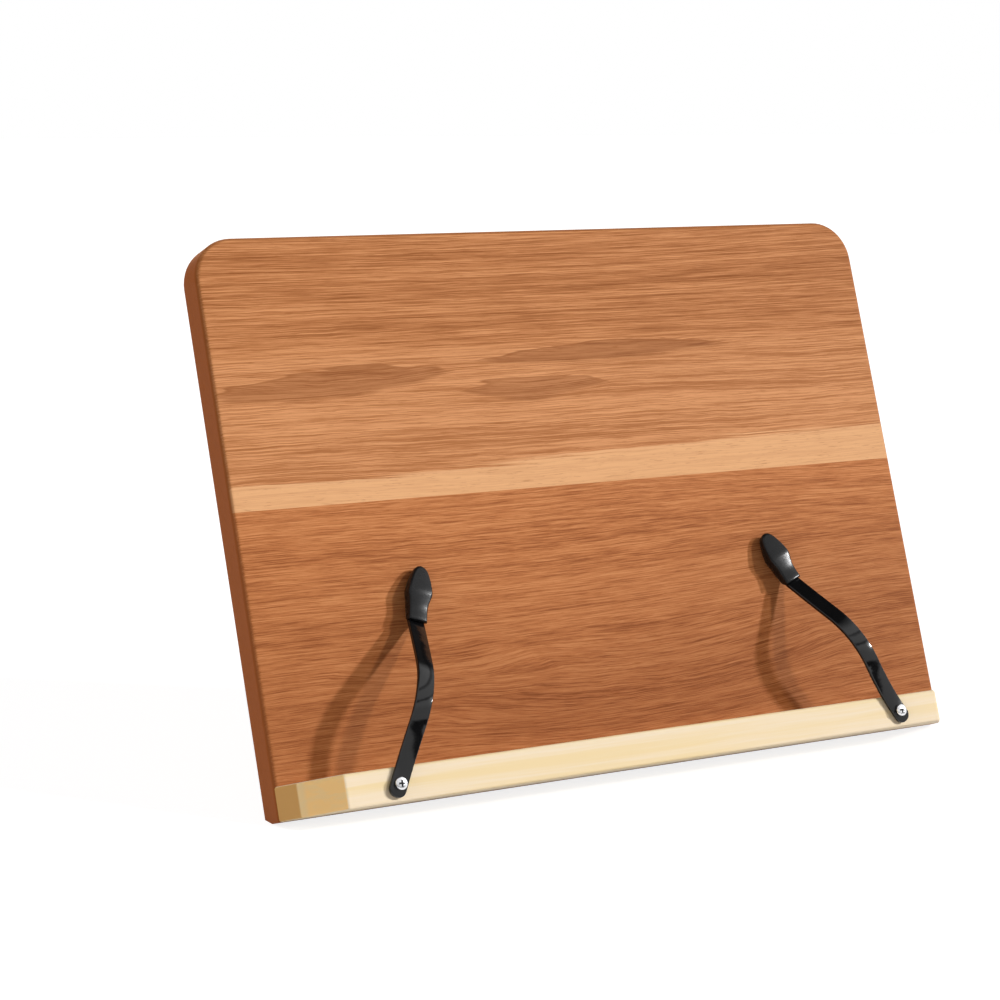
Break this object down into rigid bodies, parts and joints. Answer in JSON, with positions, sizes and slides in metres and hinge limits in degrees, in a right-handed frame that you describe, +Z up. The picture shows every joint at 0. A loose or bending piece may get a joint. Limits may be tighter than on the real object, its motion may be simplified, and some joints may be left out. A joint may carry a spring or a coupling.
{
  "type": "reading stand",
  "caption": "Leaning wooden reading stand with a page ledge, sprung swinging page arms, and a folding rear leg on a slotted, clamped stay.",
  "frame": {"origin": "middle of the flat foot cut along the board's lower rear edge, which stands on the table", "axes": "+X across the board to the reader's right, +Y from the reader to the back, +Z up"},
  "size_m": [0.39, 0.1987, 0.2665],
  "materials": {
    "upper_oak": "satin varnish, straight cathedral grain",
    "lower_oak": "satin varnish, redder, fine wavy grain",
    "ledge_poplar": "satin varnish, pale",
    "leg_oak": "satin varnish",
    "batten_oak": "satin varnish",
    "dowel_beech": "raw",
    "black_enamel": "gloss black",
    "cap_rubber": "satin black",
    "pad_rubber": "matt black",
    "bright_screw": "bright zinc",
    "hinge_steel": "zinc plate",
    "rail_steel": "zinc plate",
    "nut_brass": "satin brass"
  },
  "bodies": {
    "board": {"upper_stave": "upper_oak", "lower_stave": "lower_oak", "stave_dowels": "dowel_beech", "page_ledge": "ledge_poplar", "ledge_screws": "bright_screw", "left_arm_screw": "bright_screw", "right_arm_screw": "bright_screw", "hinge_batten": "batten_oak", "batten_screws": "bright_screw", "hinge_board_screws": "bright_screw", "left_hinge_board_leaf": "hinge_steel", "right_hinge_board_leaf": "hinge_steel", "left_hinge_pin": "hinge_steel", "right_hinge_pin": "hinge_steel", "stay_rail": "rail_steel", "rail_screws": "bright_screw"},
    "leg": {"rear_leg": "leg_oak", "leg_foot_pads": "pad_rubber", "left_hinge_leg_leaf": "hinge_steel", "right_hinge_leg_leaf": "hinge_steel", "hinge_leg_screws": "bright_screw", "stay_pivot_screw": "bright_screw", "stay_spacer": "hinge_steel"},
    "stay": {"stay_link": "rail_steel", "clamp_bolt": "bright_screw", "clamp_washer": "hinge_steel"},
    "nut": {"clamp_thumb_nut": "nut_brass"},
    "left_arm": {"left_arm_base": "black_enamel"},
    "left_spring": {"left_arm_spring": "black_enamel", "left_tip_cap": "cap_rubber"},
    "right_arm": {"right_arm_base": "black_enamel"},
    "right_spring": {"right_arm_spring": "black_enamel", "right_tip_cap": "cap_rubber"}
  },
  "joints": [
    {"name": "leg_fold", "type": "hinge", "parent": "board", "child": "leg", "pos_m": [0, 0.07649, 0.1781], "axis": [1, 0, 0], "range_deg": [-39.25, 14]},
    {"name": "stay_swing", "type": "hinge", "parent": "leg", "child": "stay", "pos_m": [0.0846, 0.11455, 0.10043], "axis": [1, 0, 0], "range_deg": [-28, 78.5]},
    {"name": "nut_turn", "type": "hinge", "parent": "stay", "child": "nut", "pos_m": [0.0902, 0.03642, 0.06334], "axis": [1, 0, 0], "range_deg": [0, 720]},
    {"name": "left_arm_swing", "type": "hinge", "parent": "board", "child": "left_arm", "pos_m": [-0.146, -0.03853, 0.0204], "axis": [0, -0.9441, 0.3297], "range_deg": [-47.2, 92.8]},
    {"name": "left_arm_lift", "type": "hinge", "parent": "left_arm", "child": "left_spring", "pos_m": [-0.14251, -0.03674, 0.02856], "axis": [0.9219, -0.1278, -0.3658], "range_deg": [0, 16], "stiffness_Nm_per_rad": 1.1, "springref_deg": -3.44},
    {"name": "right_arm_swing", "type": "hinge", "parent": "board", "child": "right_arm", "pos_m": [0.146, -0.03853, 0.0204], "axis": [0, -0.9441, 0.3297], "range_deg": [-94, 46]},
    {"name": "right_arm_lift", "type": "hinge", "parent": "right_arm", "child": "right_spring", "pos_m": [0.14234, -0.03676, 0.02849], "axis": [0.9135, 0.1341, 0.384], "range_deg": [0, 16], "stiffness_Nm_per_rad": 1.1, "springref_deg": -3.44}
  ],
  "couplings": [
    {"joint": "stay_swing", "follows": "leg_fold", "ratio": -2}
  ]
}
